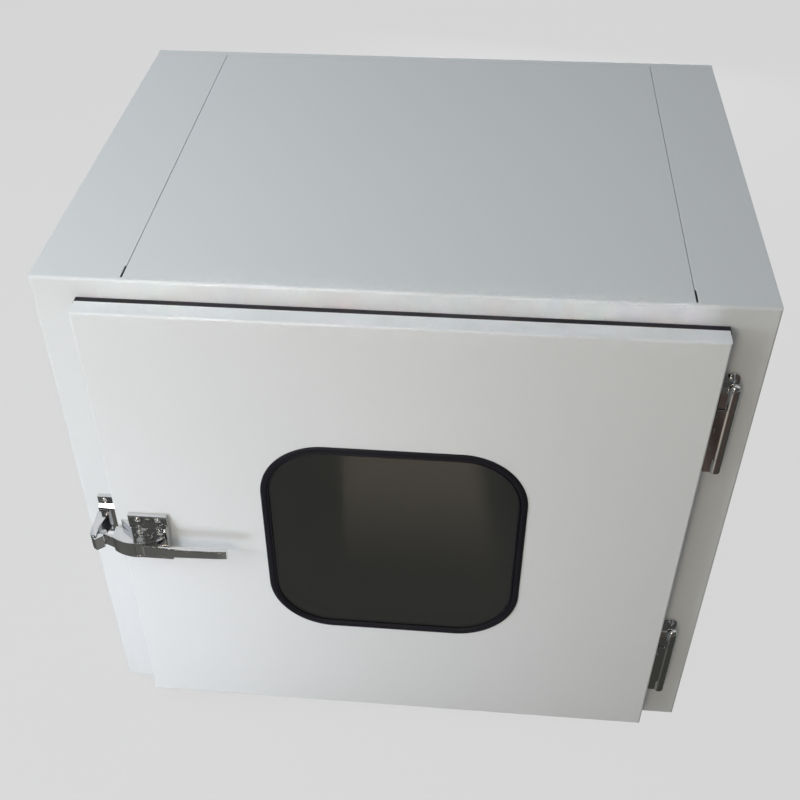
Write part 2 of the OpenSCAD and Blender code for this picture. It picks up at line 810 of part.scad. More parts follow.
// Block as large as the door, set in by e on its four sides
module door_frame_block(e, y0, y1) {
    block([door_left + e, y0, door_bottom + e], [door_right - e, y1, door_bottom + door_h - e]);
}

// Block as large as the outside of the gasket, set in by e on its four sides
module gasket_block(e, y0, y1) {
    x = door_w / 2 + gasket_side - e;
    z = door_h / 2 - gasket_inset - e;
    translate([0, 0, door_bottom + door_h / 2]) block([-x, y0, -z], [x, y1, z]);
}

module front_door_skin() { door_skin_body(); }
module front_inner_pan() { inner_pan_body(); }
module front_outer_pane() { outer_pane_body(); }
module front_inner_pane() { inner_pane_body(); }
module front_window_seal() { window_seal_body(); }
module front_window_reveal() { window_reveal_body(); }
module front_gasket() { gasket_body(); }
module rear_door_skin() { at_rear() door_skin_body(); }
module rear_inner_pan() { at_rear() inner_pan_body(); }
module rear_outer_pane() { at_rear() outer_pane_body(); }
module rear_inner_pane() { at_rear() inner_pane_body(); }
module rear_window_seal() { at_rear() window_seal_body(); }
module rear_window_reveal() { at_rear() window_reveal_body(); }
module rear_gasket() { at_rear() gasket_body(); }

// ---------- latch ----------

// Places of the latch's screws and the thickness under each head
latch_screws = [for (i = [0, 1], s = [-1, 1], k = [0, 1])
    k == 0 ? [flange_screw_u + i * screw_pitch_u, s * flange_screw_z, latch_flange_t]
        : [block_screw_u + i * screw_pitch_u, s * block_screw_z, block_t]];

module latch_screw_holes(y0, y1) {
    for (s = latch_screws) screw_hole(pivot_x + s[0], y0, y1, latch_z + s[1]);
}

// Moves a plan drawing in u and v to the pivot and gives it height h about the middle
module at_pivot(h) {
    translate([pivot_x, pivot_y, latch_z]) mirror([0, 1, 0]) linear_extrude(h, center = true) children();
}

// Upright hole through the latch at u and v
module pin_hole(u, v, r) {
    translate([pivot_x + u, pivot_y - v, latch_z]) cylinder(r = r, h = 2 * housing_h, center = true);
}

// Arm between the hub and the roller, grown by e
module arm_plan(e) {
    n = [-roller_out, -roller_back];
    circle(split_r + e);
    translate(n) circle(lug_r + e);
    polygon([
        n + [-lug_r - e, 0], n + [0.8 - lug_r - e, lug_r - 0.6 + e], n + [0.8, lug_r + e],
        [neck_u, -2.5 + e], [0, split_r - 2.6 + e], [0, -2],
        [-split_r + 2, -split_r + 1.5 - e], [neck_u, -7.4 - e],
        n + [lug_r + 1.1, 2.8 - e], n + [lug_r + e, 0]
    ]);
}

// Plan of the housing: bowed front, straight back, open at the left
module housing_plan() {
    c = [bow_u, bow_v - bow_r];
    a1 = 90 + asin((bow_u - housing_left) / bow_r);
    a0 = 90 - acos((block_v + 0.5 - c[1]) / bow_r);
    polygon(concat(arc(c, bow_r, a0, a1, 24), [[housing_left, -pivot_fwd + 1.2], [-23.5, -pivot_fwd + 1],
        [-9.7, block_v - 0.5], [24, block_v - 0.5]]));
}

module block_plan() {
    polygon([[-23.5, -pivot_fwd], [-9.7, block_v], [flange_left + latch_flange_w - 0.5, block_v],
        [flange_left + latch_flange_w, -pivot_fwd]]);
}

// Die-cast body: flange, raised block and the hollow housing that the lever turns in
module latch_body_solid() {
    color(bright_chrome) difference() {
        union() {
            at_pivot(latch_flange_h)
                translate([flange_left, -pivot_fwd]) square([latch_flange_w, latch_flange_t]);
            at_pivot(block_h) block_plan();
            at_pivot(housing_h) housing_plan();
        }
        at_pivot(pocket_h) {
            for (a = [0:4:lever_swing]) rotate(a) arm_plan(0.5);
            rotate(lever_swing) arm_plan(0.5);
            difference() {
                translate([0, -split_r + 1]) square([60, 60]);
                translate([-1, -40]) square([60, 40 + block_v + 0.4]);
            }
        }
        latch_screw_holes(door_face_y - block_t - 1, door_face_y + 1);
        pin_hole(0, 0, lever_pin_r + press);
        translate([pivot_x + 12.1, pivot_y + 3.9, latch_z]) cylinder(r = 1.9, h = housing_h);
    }
}

// Half height and forward place of the grip at a distance u from the pivot
function grip_half(u) = let (t = min(1, max(0, (u - 8) / grip_taper)))
    lever_h / 2 - (lever_h / 2 - grip_tip_h / 2) * (3 * t * t - 2 * t * t * t);
function grip_v(u) = 4.9 + 2.4 * (1 - pow((u - 46) / 51.6, 2));

// One rounded cross section of the grip
function grip_ring(u) = let (h = grip_half(u), m = grip_t / 2, v = grip_v(u) - m, r = 1.6)
    [for (q = [0:3], i = [0:3]) let (a = q * 90 + i * 30,
        sx = (q == 0 || q == 3) ? 1 : -1, sz = (q < 2) ? 1 : -1)
        [u, -(v + sx * (m - r) + r * cos(a)), sz * (h - r) + r * sin(a)]];

// Skin through the rings from the hub to the tip, closed at both ends
module grip_loft() {
    rings = [for (i = [0:grip_steps]) grip_ring(4 + (lever_reach - 4) * i / grip_steps)];
    n = len(rings[0]);
    polyhedron(points = [for (r = rings, p = r) p],
        faces = concat(
            [[for (i = [n - 1:-1:0]) i]],
            [for (k = [0:grip_steps - 1], i = [0:n - 1], s = [0, 1])
                let (a = k * n + i, b = k * n + (i + 1) % n) s == 0 ? [a, b, a + n] : [b, b + n, a + n]],
            [[for (i = [0:n - 1]) grip_steps * n + i]]));
}

// Lever in one casting: hub, arm with the roller's fork, and grip
module latch_lever_solid() {
    color(bright_chrome) difference() {
        union() {
            at_pivot(lever_h) {
                arm_plan(0);
                intersection() {
                    translate([0, -split_r]) square([30, 40]);
                    polygon([[0, -split_r + 3], [20, grip_v(20) - grip_t + 0.4], [20, grip_v(20) - 0.4],
                        [8, grip_v(8) - 0.1], [0, grip_v(0)]]);
                }
            }
            translate([pivot_x, pivot_y, latch_z]) grip_loft();
        }
        at_pivot(lever_h - 2 * lug_t) translate([-roller_out, -roller_back]) circle(roller_r + 1.2);
        at_pivot(lever_h + 2) translate([-20, grip_v(0)]) square([23, 10]);
        pin_hole(0, 0, lever_pin_r + running);
        pin_hole(-roller_out, -roller_back, roller_pin_r + press);
    }
}

// Pin through a height h, riveted over by a head of height t at both ends
module riveted_pin(r, h, head_r, t) {
    cylinder(r = r, h = h, center = true);
    for (s = [-1, 1]) translate([0, 0, s * (h + t) / 2]) cylinder(r = head_r, h = t, center = true);
}

module latch_pivot_body() {
    color("silver") translate([pivot_x, pivot_y, latch_z])
        riveted_pin(lever_pin_r, housing_h, lever_pin_r + 1, 0.7);
}

module roller_pin_body() {
    color("silver") translate([pivot_x - roller_out, pivot_y + roller_back, latch_z])
        riveted_pin(roller_pin_r, lever_h, roller_pin_r + 0.8, 0.8);
}

module roller_body() {
    color(bright_chrome) translate([pivot_x - roller_out, pivot_y + roller_back, latch_z]) difference() {
        cylinder(r = roller_r, h = lever_h - 2 * lug_t - 2 * side_play, center = true);
        cylinder(r = roller_pin_r + running, h = lever_h, center = true);
    }
}

// Screws of the latch body and of the leaves on the door's edge
module door_screws_body() {
    color("silver") {
        for (s = latch_screws)
            translate([pivot_x + s[0], door_face_y - s[2], latch_z + s[1]]) cross_screw(s[2] + 5);
        for (z = hinge_zs, dz = side_hole_zs)
            translate([door_right + door_leaf_t, side_hole_y, z + dz + (middle_z0 + middle_z1) / 2])
                rotate([0, 0, 90]) cross_screw(door_leaf_t + 4);
    }
}

module front_latch_body() { latch_body_solid(); }
module front_latch_lever() { latch_lever_solid(); }
module front_latch_pivot() { latch_pivot_body(); }
module front_roller_pin() { roller_pin_body(); }
module front_roller() { roller_body(); }
module front_door_screws() { door_screws_body(); }
module rear_latch_body() { at_rear() latch_body_solid(); }
module rear_latch_lever() { at_rear() latch_lever_solid(); }
module rear_latch_pivot() { at_rear() latch_pivot_body(); }
module rear_roller_pin() { at_rear() roller_pin_body(); }
module rear_roller() { at_rear() roller_body(); }
module rear_door_screws() { at_rear() door_screws_body(); }

// ---------- assembly ----------

front_frame();
rear_frame();
left_side_panel();
right_side_panel();
top_panel();
base_panel();
chamber_liner();
floor_rails();
roof_rails();
lamp_batten();
lamp_holders();
uv_tube();
uv_tube_caps();
lamp_ballast();
power_inlet();
inlet_pins();
switch_bezel();
switch_rocker();
interlock_shaft();
interlock_bearings();
front_keeper();
front_frame_leaves();
front_hinge_pins();
rear_keeper();
rear_frame_leaves();
rear_hinge_pins();
frame_screws();
front_door_skin();
front_inner_pan();
front_outer_pane();
front_inner_pane();
front_window_seal();
front_window_reveal();
front_gasket();
front_door_leaves();
front_latch_body();
front_latch_pivot();
front_door_screws();
front_interlock_catch();
front_latch_lever();
front_roller_pin();
front_roller();
rear_door_skin();
rear_inner_pan();
rear_outer_pane();
rear_inner_pane();
rear_window_seal();
rear_window_reveal();
rear_gasket();
rear_door_leaves();
rear_latch_body();
rear_latch_pivot();
rear_door_screws();
rear_interlock_catch();
rear_latch_lever();
rear_roller_pin();
rear_roller();
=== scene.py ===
import bpy
import json
from math import radians
from mathutils import Matrix, Vector


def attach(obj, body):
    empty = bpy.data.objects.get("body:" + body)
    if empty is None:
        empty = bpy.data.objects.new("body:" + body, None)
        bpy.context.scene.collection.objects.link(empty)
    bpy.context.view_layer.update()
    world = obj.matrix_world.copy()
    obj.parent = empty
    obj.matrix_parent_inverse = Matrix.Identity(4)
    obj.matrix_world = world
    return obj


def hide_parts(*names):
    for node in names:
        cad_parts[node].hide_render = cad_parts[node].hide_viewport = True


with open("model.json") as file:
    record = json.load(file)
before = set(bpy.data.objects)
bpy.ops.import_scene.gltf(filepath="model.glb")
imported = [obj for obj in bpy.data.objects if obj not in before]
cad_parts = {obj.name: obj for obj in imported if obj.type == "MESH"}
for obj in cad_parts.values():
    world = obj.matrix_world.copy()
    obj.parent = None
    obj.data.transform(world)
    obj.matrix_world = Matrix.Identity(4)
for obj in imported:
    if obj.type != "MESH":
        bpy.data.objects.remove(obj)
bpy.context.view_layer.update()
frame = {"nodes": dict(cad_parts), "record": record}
nodes = frame["nodes"]
SIDES = ("front", "rear")


# ---------- camera ----------

CAMERA_EYE = Vector((0.069095, -1.073844, 1.128574))
CAMERA_AHEAD = Vector((-0.08114, 0.73683, -0.67120))
CAMERA_UP = Vector((-0.05598, 0.66898, 0.74117))
CAMERA_LENS = 50.78
CAMERA_SHIFT_X, CAMERA_SHIFT_Y = 0.03275, 0.0746


def place_camera():
    """Camera in front of the door, above the roof and looking down at both."""
    forward = CAMERA_AHEAD.normalized()
    up = (CAMERA_UP - forward * CAMERA_UP.dot(forward)).normalized()
    right = forward.cross(up)
    data = bpy.data.cameras.new("studio_camera")
    data.lens = CAMERA_LENS
    data.sensor_width = 36
    data.shift_x = CAMERA_SHIFT_X
    data.shift_y = CAMERA_SHIFT_Y
    camera = bpy.data.objects.new("studio_camera", data)
    bpy.context.scene.collection.objects.link(camera)
    camera.matrix_world = Matrix.Translation(CAMERA_EYE) @ Matrix((right, up, -forward)).transposed().to_4x4()
    bpy.context.scene.camera = camera
    bpy.context.scene.view_settings.view_transform = "Standard"


# ---------- finishes ----------

def new_group(name, inputs, outputs):
    """Shader node group with float, colour or vector sockets."""
    tree = bpy.data.node_groups.new(name, "ShaderNodeTree")
    for label, kind, value in inputs:
        socket = tree.interface.new_socket(name=label, in_out="INPUT", socket_type="NodeSocket" + kind)
        socket.default_value = value
    for label, kind in outputs:
        tree.interface.new_socket(name=label, in_out="OUTPUT", socket_type="NodeSocket" + kind)
    return tree, tree.nodes.new("NodeGroupInput"), tree.nodes.new("NodeGroupOutput")


def add_node(tree, kind, links=None, **settings):
    """Node of that kind; links maps an input to a value or to another node's socket."""
    made = tree.nodes.new("ShaderNode" + kind)
    for key, value in settings.items():
        setattr(made, key, value)
    for key, value in (links or {}).items():
        if isinstance(value, bpy.types.NodeSocket):
            tree.links.new(value, made.inputs[key])
        else:
            made.inputs[key].default_value = value
    return made


def object_noise(tree, scale, detail=3.0, stretch=(1, 1, 1)):
    """Noise over the piece, in metres, stretched along its axes."""
    where = add_node(tree, "TexCoord")
    fitted = add_node(tree, "Mapping", {"Vector": where.outputs["Object"], "Scale": stretch})
    return add_node(tree, "TexNoise", {"Vector": fitted.outputs["Vector"], "Scale": scale, "Detail": detail})


def spread(tree, value, low, high):
    """Maps a value of 0.3 to 0.7 to low to high."""
    return add_node(tree, "MapRange", {"Value": value, "From Min": 0.3, "From Max": 0.7,
                                       "To Min": low, "To Max": high}).outputs["Result"]


def powder_coat_group():
    """Sprayed powder: faint clouds of tone, fine orange peel and a few dull patches."""
    tree, given, result = new_group("powder_coat", [
        ("Paint", "Color", (0.8, 0.8, 0.8, 1)), ("Clouds", "Float", 0.03), ("Gloss", "Float", 0.4)],
        [("Color", "Color"), ("Roughness", "Float"), ("Height", "Float")])
    clouds = object_noise(tree, 3.5)
    specks = object_noise(tree, 420, 2.0)
    peel = object_noise(tree, 950, 1.0)
    tone = add_node(tree, "Math", {0: clouds.outputs["Fac"], 1: 0.5}, operation="SUBTRACT")
    depth = add_node(tree, "Math", {0: tone.outputs[0], 1: given.outputs["Clouds"], 2: 1.0},
                     operation="MULTIPLY_ADD")
    grains = add_node(tree, "Math", {0: specks.outputs["Fac"], 1: 0.02, 2: 0.99},
                      operation="MULTIPLY_ADD")
    shade = add_node(tree, "Math", {0: depth.outputs[0], 1: grains.outputs[0]}, operation="MULTIPLY")
    colour = add_node(tree, "VectorMath", {0: given.outputs["Paint"], 3: shade.outputs[0]}, operation="SCALE")
    dull = add_node(tree, "Math", {0: clouds.outputs["Fac"], 1: 0.12, 2: given.outputs["Gloss"]},
                    operation="MULTIPLY_ADD")
    tree.links.new(colour.outputs["Vector"], result.inputs["Color"])
    tree.links.new(dull.outputs[0], result.inputs["Roughness"])
    tree.links.new(peel.outputs["Fac"], result.inputs["Height"])
    return tree


def handled_metal_group():
    """Plated or ground metal: faint haze of handling and fine scratches."""
    tree, given, result = new_group("handled_metal", [
        ("Metal", "Color", (0.8, 0.8, 0.8, 1)), ("Haze", "Float", 0.05), ("Polish", "Float", 0.1)],
        [("Color", "Color"), ("Roughness", "Float"), ("Height", "Float")])
    haze = object_noise(tree, 60)
    scratches = object_noise(tree, 900, 2.0, (0.15, 1, 1))
    dim = add_node(tree, "Math", {0: haze.outputs["Fac"], 1: -0.12, 2: 1.05}, operation="MULTIPLY_ADD")
    colour = add_node(tree, "VectorMath", {0: given.outputs["Metal"], 3: dim.outputs[0]}, operation="SCALE")
    worn = add_node(tree, "Math", {0: haze.outputs["Fac"], 1: given.outputs["Haze"],
                                   2: given.outputs["Polish"]}, operation="MULTIPLY_ADD")
    tree.links.new(colour.outputs["Vector"], result.inputs["Color"])
    tree.links.new(worn.outputs[0], result.inputs["Roughness"])
    tree.links.new(scratches.outputs["Fac"], result.inputs["Height"])
    return tree


def brushed_grain_group():
    """Long parallel brush marks along one axis."""
    tree, given, result = new_group("brushed_grain", [
        ("Metal", "Color", (0.6, 0.6, 0.6, 1)), ("Stretch", "Vector", (1, 1, 1)), ("Polish", "Float", 0.25)],
        [("Color", "Color"), ("Roughness", "Float"), ("Height", "Float")])
    where = add_node(tree, "TexCoord")
    along = add_node(tree, "VectorMath", {0: where.outputs["Object"], 1: given.outputs["Stretch"]},
                     operation="MULTIPLY")
    marks = add_node(tree, "TexNoise", {"Vector": along.outputs["Vector"], "Scale": 1.0, "Detail": 4.0})
    dim = add_node(tree, "Math", {0: marks.outputs["Fac"], 1: -0.22, 2: 1.1}, operation="MULTIPLY_ADD")
    colour = add_node(tree, "VectorMath", {0: given.outputs["Metal"], 3: dim.outputs[0]}, operation="SCALE")
    rough = add_node(tree, "Math", {0: marks.outputs["Fac"], 1: 0.2, 2: given.outputs["Polish"]},
                     operation="MULTIPLY_ADD")
    tree.links.new(colour.outputs["Vector"], result.inputs["Color"])
    tree.links.new(rough.outputs[0], result.inputs["Roughness"])
    tree.links.new(marks.outputs["Fac"], result.inputs["Height"])
    return tree


def moulded_skin_group():
    """Moulded rubber or plastic: fine skin, paler bloom in patches."""
    tree, given, result = new_group("moulded_skin", [
        ("Body", "Color", (0.02, 0.02, 0.02, 1)), ("Bloom", "Color", (0.05, 0.05, 0.05, 1)),
        ("Matt", "Float", 0.5), ("Grain", "Float", 700.0)],
        [("Color", "Color"), ("Roughness", "Float"), ("Height", "Float")])
    where = add_node(tree, "TexCoord")
    patches = object_noise(tree, 9)
    skin = add_node(tree, "TexNoise", {"Vector": where.outputs["Object"], "Scale": given.outputs["Grain"],
                                       "Detail": 2.0})
    mask = spread(tree, patches.outputs["Fac"], 0.0, 1.0)
    colour = add_node(tree, "MixRGB", {0: mask, 1: given.outputs["Body"], 2: given.outputs["Bloom"]})
    rough = add_node(tree, "Math", {0: patches.outputs["Fac"], 1: 0.15, 2: given.outputs["Matt"]},
                     operation="MULTIPLY_ADD")
    tree.links.new(colour.outputs["Color"], result.inputs["Color"])
    tree.links.new(rough.outputs[0], result.inputs["Roughness"])
    tree.links.new(skin.outputs["Fac"], result.inputs["Height"])
    return tree


def finish(name, group, values, height=0.1, distance=0.0001, **shader):
    """Material whose colour, roughness and relief come from a group; shader sets the shader's own sockets."""
    material = bpy.data.materials.new(name)
    material.use_nodes = True
    tree = material.node_tree
    shade = tree.nodes["Principled BSDF"]
    for socket, value in shader.items():
        shade.inputs[socket.replace("_", " ")].default_value = value
    source = add_node(tree, "Group", node_tree=group)
    for label, value in values.items():
        source.inputs[label].default_value = value
    relief = add_node(tree, "Bump", {"Height": source.outputs["Height"], "Strength": height,
                                     "Distance": distance})
    tree.links.new(source.outputs["Color"], shade.inputs["Base Color"])
    tree.links.new(source.outputs["Roughness"], shade.inputs["Roughness"])
    tree.links.new(relief.outputs["Normal"], shade.inputs["Normal"])
    return material


def make_finishes():
    """Every material of the pass box, by the name of its slot."""
    powder, metal = powder_coat_group(), handled_metal_group()
    brushed, moulded = brushed_grain_group(), moulded_skin_group()
    return {
        "cabinet_paint": finish("cabinet_powder_coat", powder,
                                {"Paint": (0.74, 0.76, 0.76, 1), "Clouds": 0.05, "Gloss": 0.36}, 0.06,
                                Coat_Weight=0.4, Coat_Roughness=0.12),
        "door_paint": finish("door_powder_coat", powder,
                             {"Paint": (0.77, 0.79, 0.79, 1), "Clouds": 0.04, "Gloss": 0.34}, 0.06,
                             Coat_Weight=0.4, Coat_Roughness=0.12),
        "chrome_plate": finish("chrome_plate", metal,
                               {"Metal": (0.74, 0.74, 0.75, 1), "Haze": 0.06, "Polish": 0.07}, 0.05,
                               Metallic=1.0),
        "pin_steel": finish("turned_pin_steel", metal,
                            {"Metal": (0.6, 0.6, 0.61, 1), "Haze": 0.1, "Polish": 0.22}, 0.1, Metallic=1.0),
        "screw_steel": finish("zinc_screw_steel", metal,
                              {"Metal": (0.82, 0.82, 0.83, 1), "Haze": 0.1, "Polish": 0.16}, 0.08,
                              Metallic=1.0),
        "black_rubber": finish("black_rubber", moulded,
                               {"Body": (0.008, 0.0075, 0.012, 1), "Bloom": (0.013, 0.012, 0.018, 1),
                                "Matt": 0.42, "Grain": 900.0}, 0.12, Specular_IOR_Level=0.25),
        "stainless": finish("brushed_stainless", brushed,
                            {"Metal": (0.52, 0.52, 0.52, 1), "Stretch": (5, 5, 420), "Polish": 0.24}, 0.06,
                            Metallic=1.0),
        "rail_steel": finish("galvanised_rail", metal,
                             {"Metal": (0.56, 0.57, 0.58, 1), "Haze": 0.3, "Polish": 0.35}, 0.15, Metallic=1.0),
        "interlock_steel": finish("satin_interlock_steel", metal,
                                  {"Metal": (0.6, 0.6, 0.61, 1), "Haze": 0.15, "Polish": 0.28}, 0.1,
                                  Metallic=1.0),
        "batten_paint": finish("batten_paint", powder,
                               {"Paint": (0.82, 0.82, 0.8, 1), "Clouds": 0.05, "Gloss": 0.4}, 0.08),
        "white_plastic": finish("white_lampholder_plastic", moulded,
                                {"Body": (0.78, 0.78, 0.75, 1), "Bloom": (0.72, 0.72, 0.68, 1),
                                 "Matt": 0.4, "Grain": 600.0}, 0.1),
        "ballast_case": finish("ballast_case_paint", powder,
                               {"Paint": (0.78, 0.78, 0.75, 1), "Clouds": 0.1, "Gloss": 0.45}, 0.1),
        "cap_aluminium": finish("tube_cap_aluminium", metal,
                                {"Metal": (0.7, 0.71, 0.72, 1), "Haze": 0.2, "Polish": 0.25}, 0.1,
                                Metallic=1.0),
        "black_plastic": finish("black_inlet_plastic", moulded,
                                {"Body": (0.02, 0.02, 0.022, 1), "Bloom": (0.032, 0.032, 0.034, 1),
                                 "Matt": 0.38, "Grain": 500.0}, 0.15),
        "contact_brass": finish("contact_brass", metal,
                                {"Metal": (0.7, 0.55, 0.26, 1), "Haze": 0.2, "Polish": 0.2}, 0.1, Metallic=1.0),
        "window_glass": finish("tinted_window_glass", moulded,
                               {"Body": (0.26, 0.27, 0.25, 1), "Bloom": (0.30, 0.31, 0.28, 1),
                                "Matt": 0.0, "Grain": 4.0}, 0.002,
                               Transmission_Weight=1.0, IOR=1.9),
        "quartz_glass": finish("quartz_tube_glass", moulded,
                               {"Body": (0.86, 0.9, 0.95, 1), "Bloom": (0.8, 0.86, 0.92, 1),
                                "Matt": 0.02, "Grain": 40.0}, 0.02, Transmission_Weight=0.8, IOR=1.46),
    }


# ---------- modelling helpers ----------

def only(piece):
    """Leaves object mode with this piece alone selected and active."""
    if bpy.context.object and bpy.context.object.mode != "OBJECT":
        bpy.ops.object.mode_set(mode="OBJECT")
    bpy.ops.object.select_all(action="DESELECT")
    piece.select_set(True)
    bpy.context.view_layer.objects.active = piece


def apply_all(piece):
    only(piece)
    for modifier in list(piece.modifiers):
        bpy.ops.object.modifier_apply(modifier=modifier.name)


WELD_REACH = 0.000002
COPLANAR_ANGLE = radians(0.5)
SHARP_ANGLE = radians(30)
ROUNDING_STEPS = 2


def softened(node, slot, body, width):
    """Copy of a node with its sharp edges rounded, standing for the node."""
    piece = bpy.data.objects.new(node + "_finished", nodes[node].data.copy())
    bpy.context.scene.collection.objects.link(piece)
    only(piece)
    bpy.ops.object.mode_set(mode="EDIT")
    bpy.ops.mesh.select_all(action="SELECT")
    bpy.ops.mesh.remove_doubles(threshold=WELD_REACH)
    bpy.ops.mesh.dissolve_limited(angle_limit=COPLANAR_ANGLE)
    bpy.ops.object.mode_set(mode="OBJECT")
    rounding = piece.modifiers.new("rounded_edges", "BEVEL")
    rounding.width = width
    rounding.segments = ROUNDING_STEPS
    rounding.limit_method = "ANGLE"
    rounding.angle_limit = SHARP_ANGLE
    rounding.use_clamp_overlap = True
    apply_all(piece)
    bpy.ops.object.shade_smooth_by_angle(angle=radians(35))
    flatter = piece.modifiers.new("flat_faces", "WEIGHTED_NORMAL")
    flatter.keep_sharp = True
    flatter.weight = 100
    apply_all(piece)
    dress(piece, slot, body, node)


def dress(piece, slot, body, *stands_for):
    """Gives a finished piece its material, its body and the nodes that it stands for."""
    piece.data.materials.clear()
    piece.data.materials.append(finishes[slot])
    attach(piece, body)
    if stands_for:
        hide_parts(*stands_for)


# ---------- the pieces ----------

def dress_cad_nodes():
    """Material of every node as its record names it."""
    for part in frame["record"]["subparts"]:
        piece = nodes[part["node"]]
        piece.data.materials.clear()
        piece.data.materials.append(finishes[part["material_slot"]])


# Node, finish and edge width of the cabinet's rounded pieces
CABINET_EDGES = [
    ("front_frame", "cabinet_paint", 0.0004), ("rear_frame", "cabinet_paint", 0.0004),
    ("left_side_panel", "cabinet_paint", 0.0004), ("right_side_panel", "cabinet_paint", 0.0004),
    ("top_panel", "cabinet_paint", 0.0004), ("base_panel", "cabinet_paint", 0.0004),
    ("chamber_liner", "stainless", 0.0003), ("lamp_batten", "batten_paint", 0.0003),
    ("lamp_holders", "white_plastic", 0.0006), ("power_inlet", "black_plastic", 0.0004),
    ("inlet_pins", "contact_brass", 0.0003), ("switch_bezel", "black_plastic", 0.0003),
    ("interlock_bearings", "interlock_steel", 0.0003), ("frame_screws", "screw_steel", 0.00015),
]
# Name without its side, finish, body without its side, and edge width, for the front and the rear
SIDE_EDGES = [
    ("keeper", "chrome_plate", "cabinet", 0.0005), ("frame_leaves", "chrome_plate", "cabinet", 0.0004),
    ("hinge_pins", "pin_steel", "cabinet", 0.0003), ("door_skin", "door_paint", "door", 0.0003),
    ("inner_pan", "stainless", "door", 0.0003), ("gasket", "black_rubber", "door", 0.0008),
    ("door_leaves", "chrome_plate", "door", 0.0004), ("latch_body", "chrome_plate", "door", 0.0005),
    ("latch_pivot", "pin_steel", "door", 0.0003), ("door_screws", "screw_steel", "door", 0.00015),
    ("interlock_catch", "interlock_steel", "door", 0.0003), ("latch_lever", "chrome_plate", "lever", 0.0006),
    ("roller_pin", "pin_steel", "lever", 0.0003), ("roller", "chrome_plate", "roller_body", 0.0003),
]


def round_the_edges():
    for node, slot, width in CABINET_EDGES:
        softened(node, slot, "cabinet", width)
    softened("switch_rocker", "black_plastic", "rocker", 0.0006)
    softened("interlock_shaft", "interlock_steel", "interlock", 0.0004)
    for side in SIDES:
        for node, slot, body, width in SIDE_EDGES:
            softened(side + "_" + node, slot, "cabinet" if body == "cabinet" else side + "_" + body, width)


# Window opening: width, height, corner radius and height of its centre
WINDOW_W, WINDOW_H, WINDOW_R, WINDOW_Z = 0.246, 0.244, 0.057, 0.289
DOOR_FACE_Y = -0.2822
# How far the seal covers the skin round the opening
SEAL_LIP = 0.009
SEAL_CORNER_STEPS = 22
# Width and rise of each step across the seal, from its outer edge to the pane
SEAL_STEPS = [
    (0.0004, 0.0009), (0.0006, 0.0006), (0.0010, 0.0003), (0.0016, 0.0001), (0.0014, 0.0),
    (0.0008, -0.0002), (0.0005, -0.0005), (0.0003, -0.0004), (0.0004, 0.0002), (0.0004, 0.0004),
    (0.0006, 0.0002), (0.0005, -0.0002), (0.0003, -0.0005), (0.0002, -0.0008),
]
# Reach past the opening and depth behind the door's face of each step of the seal's hidden grooves
SEAL_GROOVES = [(0.003, 0.0), (0.003, 0.004), (0.0, 0.004), (0.0, 0.006), (0.005, 0.006), (0.005, 0.0034),
                (0.009, 0.0034), (0.009, 0.0014), (0.005, 0.0014), (0.005, 0.0002)]


def select_open_edges():
    """Selects the two open rims of a band of faces."""
    bpy.ops.mesh.select_all(action="DESELECT")
    bpy.ops.mesh.select_mode(type="EDGE")
    bpy.ops.mesh.select_non_manifold(extend=False, use_wire=False, use_boundary=True, use_multi_face=False,
                                     use_non_contiguous=False, use_verts=False)


def make_window_seals():
    """Rubber bead with a groove and an inner lip round each window, gripping the skin and the pane."""
    bpy.ops.object.select_all(action="DESELECT")
    bpy.ops.mesh.primitive_plane_add(size=1, location=(0, DOOR_FACE_Y, WINDOW_Z), rotation=(radians(90), 0, 0))
    seal = bpy.context.object
    seal.name = "front_window_seal_finished"
    seal.scale = (WINDOW_W + 2 * SEAL_LIP, WINDOW_H + 2 * SEAL_LIP, 1)
    bpy.ops.object.transform_apply(location=True, rotation=True, scale=True)
    bpy.ops.object.mode_set(mode="EDIT")
    bpy.ops.mesh.select_all(action="SELECT")
    bpy.ops.mesh.bevel(offset=WINDOW_R + SEAL_LIP, segments=SEAL_CORNER_STEPS, profile=0.5, affect="VERTICES")
    bpy.ops.mesh.select_all(action="SELECT")
    for step, rise in SEAL_STEPS:
        bpy.ops.mesh.inset(thickness=step, depth=rise)
    reach, depth = 0.0, -sum(rise for step, rise in SEAL_STEPS)
    half_w, half_h = WINDOW_W / 2, WINDOW_H / 2
    for next_reach, next_depth in SEAL_GROOVES:
        bpy.ops.mesh.extrude_region_move(TRANSFORM_OT_translate={"value": (0, next_depth - depth, 0)})
        bpy.ops.transform.resize(value=((half_w + next_reach) / (half_w + reach), 1,
                                        (half_h + next_reach) / (half_h + reach)),
                                 center_override=(0, 0, WINDOW_Z))
        reach, depth = next_reach, next_depth
    bpy.ops.mesh.delete(type="FACE")
    select_open_edges()
    bpy.ops.mesh.bridge_edge_loops()
    bpy.ops.mesh.select_all(action="SELECT")
    bpy.ops.mesh.normals_make_consistent(inside=False)
    bpy.ops.object.mode_set(mode="OBJECT")
    only(seal)
    bpy.ops.object.shade_smooth_by_angle(angle=radians(50))
    rear = bpy.data.objects.new("rear_window_seal_finished", seal.data.copy())
    bpy.context.scene.collection.objects.link(rear)
    only(rear)
    bpy.ops.object.mode_set(mode="EDIT")
    bpy.ops.mesh.select_all(action="SELECT")
    bpy.ops.transform.mirror(constraint_axis=(False, True, False), center_override=(0, 0, 0))
    bpy.ops.mesh.normals_make_consistent(inside=False)
    bpy.ops.object.mode_set(mode="OBJECT")
    dress(seal, "black_rubber", "front_door", "front_window_seal")
    dress(rear, "black_rubber", "rear_door", "rear_window_seal")


# ---------- stage ----------

FLOOR_TONE = (0.70, 0.70, 0.70, 1)
BACKDROP_TONE = (0.66, 0.66, 0.66, 1)
CEILING_TONE = (0.62, 0.66, 0.7, 1)
FILL_TONE = (0.95, 0.98, 1.0, 1)
FILL_STRENGTH = 0.2
FLOOR_SIZE = 12
FLOOR_DROP = 0.0005
